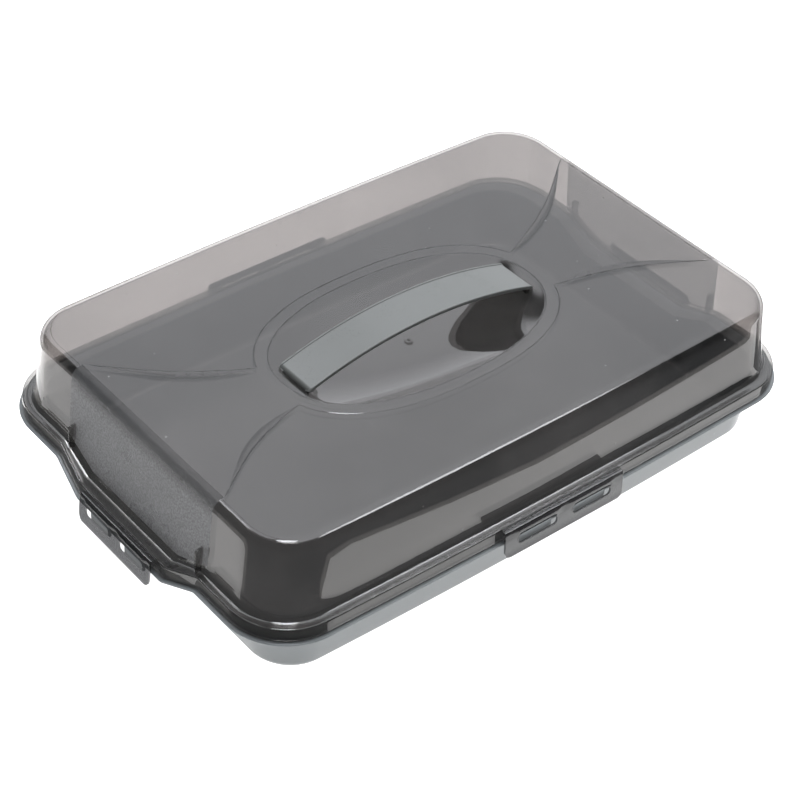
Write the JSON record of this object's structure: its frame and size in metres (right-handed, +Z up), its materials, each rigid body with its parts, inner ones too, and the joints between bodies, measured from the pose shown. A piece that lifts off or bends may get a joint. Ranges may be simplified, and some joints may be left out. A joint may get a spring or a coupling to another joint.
{
  "type": "sheet cake carrier",
  "caption": "Long rectangular cake carrier: dark tray, smoked clear lid with a carry strap in a recess, and fold-down clips on every side.",
  "frame": {"origin": "on the ground, under the middle of the closed carrier", "axes": "+X along the long side and the carry strap, +Y across the width, +Z up"},
  "size_m": [0.4482, 0.3042, 0.1026],
  "materials": {
    "tray_plastic": "smooth glossy anthracite polypropylene",
    "smoked_plastic": "smoked see-through moulding, glossy with finely frosted end bands",
    "smoked_clip": "smoked see-through moulding, glossy",
    "handle_plastic": "satin grey-green moulding"
  },
  "bodies": {
    "base": {"base_tray": "tray_plastic"},
    "lid_body": {"lid": "smoked_plastic", "carry_handle": "handle_plastic"},
    "clip_front_body": {"clip_front": "smoked_clip", "film_front": "smoked_clip"},
    "clip_back_body": {"clip_back": "smoked_clip", "film_back": "smoked_clip"},
    "clip_left_body": {"clip_left": "smoked_clip", "film_left": "smoked_clip"},
    "clip_right_body": {"clip_right": "smoked_clip", "film_right": "smoked_clip"}
  },
  "joints": [
    {"name": "lid_lift", "type": "slide", "parent": "base", "child": "lid_body", "axis": [0, 0, 1], "range_m": [0, 0.15]},
    {"name": "clip_front_fold", "type": "hinge", "parent": "lid_body", "child": "clip_front_body", "pos_m": [0, -0.14575, 0.0484], "axis": [-1, 0, 0], "range_deg": [0, 125]},
    {"name": "clip_back_fold", "type": "hinge", "parent": "lid_body", "child": "clip_back_body", "pos_m": [0, 0.14575, 0.0484], "axis": [1, 0, 0], "range_deg": [0, 125]},
    {"name": "clip_left_fold", "type": "hinge", "parent": "lid_body", "child": "clip_left_body", "pos_m": [-0.21775, 0, 0.0366], "axis": [0, 1, 0], "range_deg": [0, 125]},
    {"name": "clip_right_fold", "type": "hinge", "parent": "lid_body", "child": "clip_right_body", "pos_m": [0.21775, 0, 0.0366], "axis": [0, -1, 0], "range_deg": [0, 125]}
  ]
}
